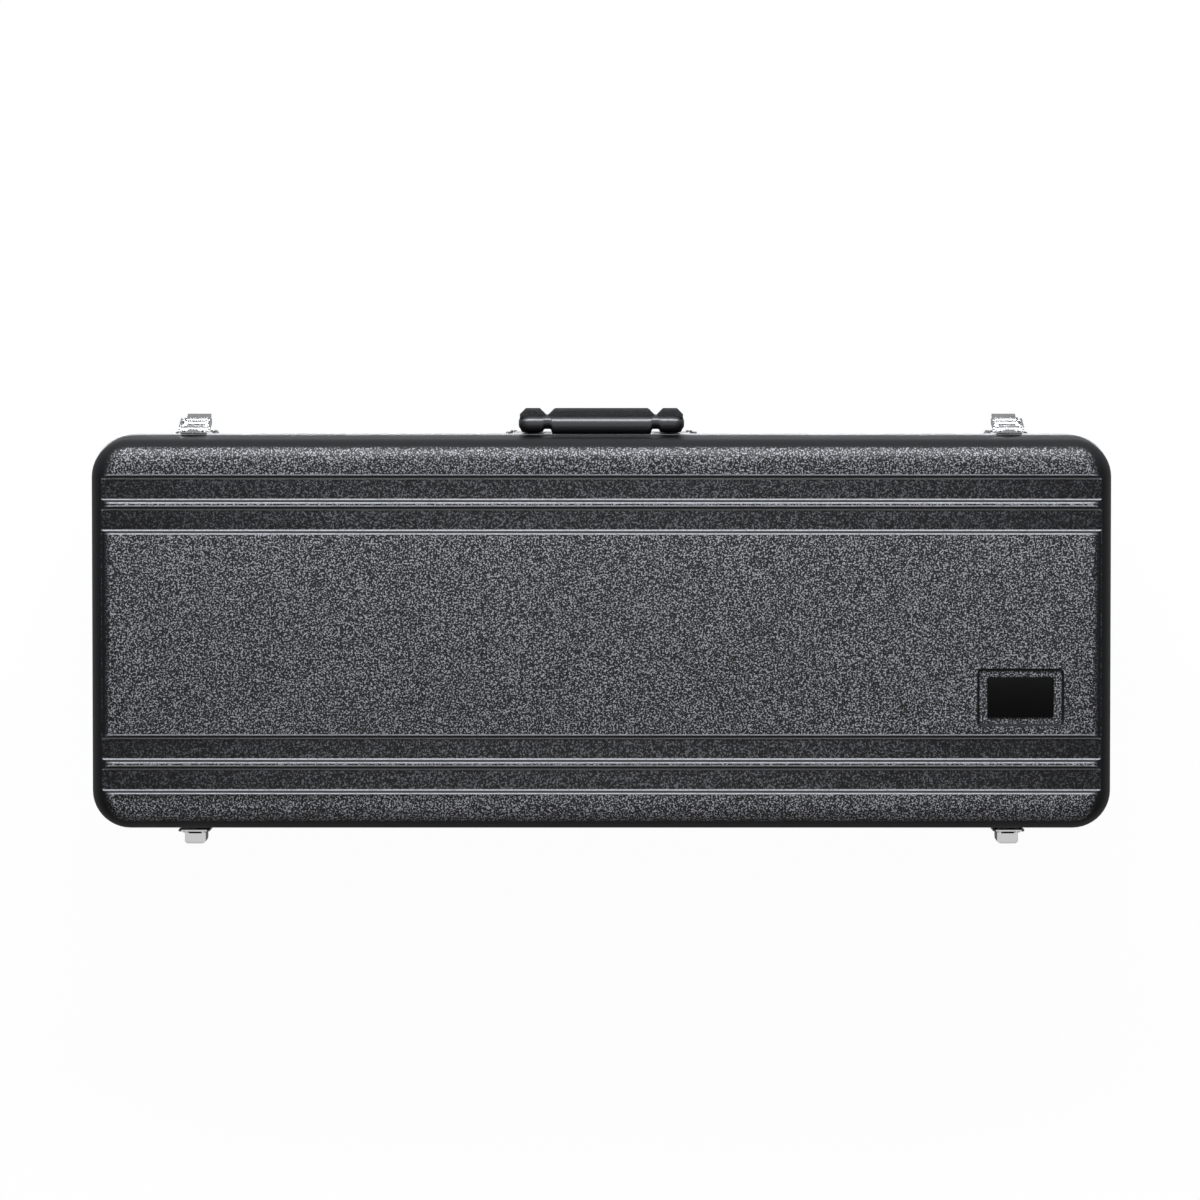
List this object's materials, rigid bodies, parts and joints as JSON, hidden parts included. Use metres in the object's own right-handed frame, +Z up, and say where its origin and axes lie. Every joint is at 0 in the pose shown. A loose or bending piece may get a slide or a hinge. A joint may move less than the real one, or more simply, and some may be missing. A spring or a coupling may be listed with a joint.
{
  "type": "tenor saxophone case",
  "caption": "Long rectangular hard case with banded faces, hinged lid, draw latches, folding handle and a plush-lined hollow for a tenor saxophone.",
  "frame": {"origin": "centre of the base's flat face, which the case lies on", "axes": "+X along the length, +Y towards the handle and latches, +Z up out of the lid's face"},
  "size_m": [0.8524, 0.3649, 0.1943],
  "materials": {
    "shell": "black ABS with a coarse leather grain",
    "valance": "satin extrusion",
    "plush": "short black plush over foam",
    "label": "bare black plate",
    "handle": "black moulding, glossy outer face",
    "rivet": "bright nickel",
    "hardware": "bright nickel plate"
  },
  "bodies": {
    "base": {"base_shell": "shell", "base_valance": "valance", "base_foam_block": "plush", "base_foam_pad": "plush", "latch_left_plate": "hardware", "latch_right_plate": "hardware", "latch_left_pin": "hardware", "latch_right_pin": "hardware", "latch_rivets": "rivet", "handle_plate": "hardware", "handle_pins": "hardware", "handle_rivets": "rivet", "hinge_left_base_leaf": "hardware", "hinge_right_base_leaf": "hardware", "hinge_left_pin": "hardware", "hinge_right_pin": "hardware", "hinge_base_rivets": "rivet"},
    "lid": {"lid_shell": "shell", "lid_valance": "valance", "lid_foam_block": "plush", "lid_foam_pad": "plush", "label_plate": "label", "keeper_left": "hardware", "keeper_right": "hardware", "keeper_rivets": "rivet", "hinge_left_lid_leaf": "hardware", "hinge_right_lid_leaf": "hardware", "hinge_lid_rivets": "rivet"},
    "latch_left": {"latch_left_lever": "hardware", "latch_left_bail_pin": "hardware"},
    "latch_right": {"latch_right_lever": "hardware", "latch_right_bail_pin": "hardware"},
    "bail_left": {"latch_left_bail": "hardware"},
    "bail_right": {"latch_right_bail": "hardware"},
    "handle": {"handle_grip": "handle"}
  },
  "joints": [
    {"name": "lid_hinge", "type": "hinge", "parent": "base", "child": "lid", "pos_m": [0, -0.172, 0.108], "axis": [1, 0, 0], "range_deg": [0, 105]},
    {"name": "latch_left_lever", "type": "hinge", "parent": "base", "child": "latch_left", "pos_m": [-0.3415, 0.1705, 0.097], "axis": [1, 0, 0], "range_deg": [0, 110]},
    {"name": "latch_left_bail", "type": "hinge", "parent": "latch_left", "child": "bail_left", "pos_m": [-0.3415, 0.1757, 0.095], "axis": [1, 0, 0], "range_deg": [-137.5, 0]},
    {"name": "latch_right_lever", "type": "hinge", "parent": "base", "child": "latch_right", "pos_m": [0.3415, 0.1705, 0.097], "axis": [1, 0, 0], "range_deg": [0, 110]},
    {"name": "latch_right_bail", "type": "hinge", "parent": "latch_right", "child": "bail_right", "pos_m": [0.3415, 0.1757, 0.095], "axis": [1, 0, 0], "range_deg": [-137.5, 0]},
    {"name": "handle_swing", "type": "hinge", "parent": "base", "child": "handle", "pos_m": [0, 0.176, 0.088], "axis": [-1, 0, 0], "range_deg": [0, 175]}
  ],
  "couplings": [
    {"joint": "latch_left_bail", "follows": "latch_left_lever", "ratio": -1.25},
    {"joint": "latch_right_bail", "follows": "latch_right_lever", "ratio": -1.25}
  ]
}
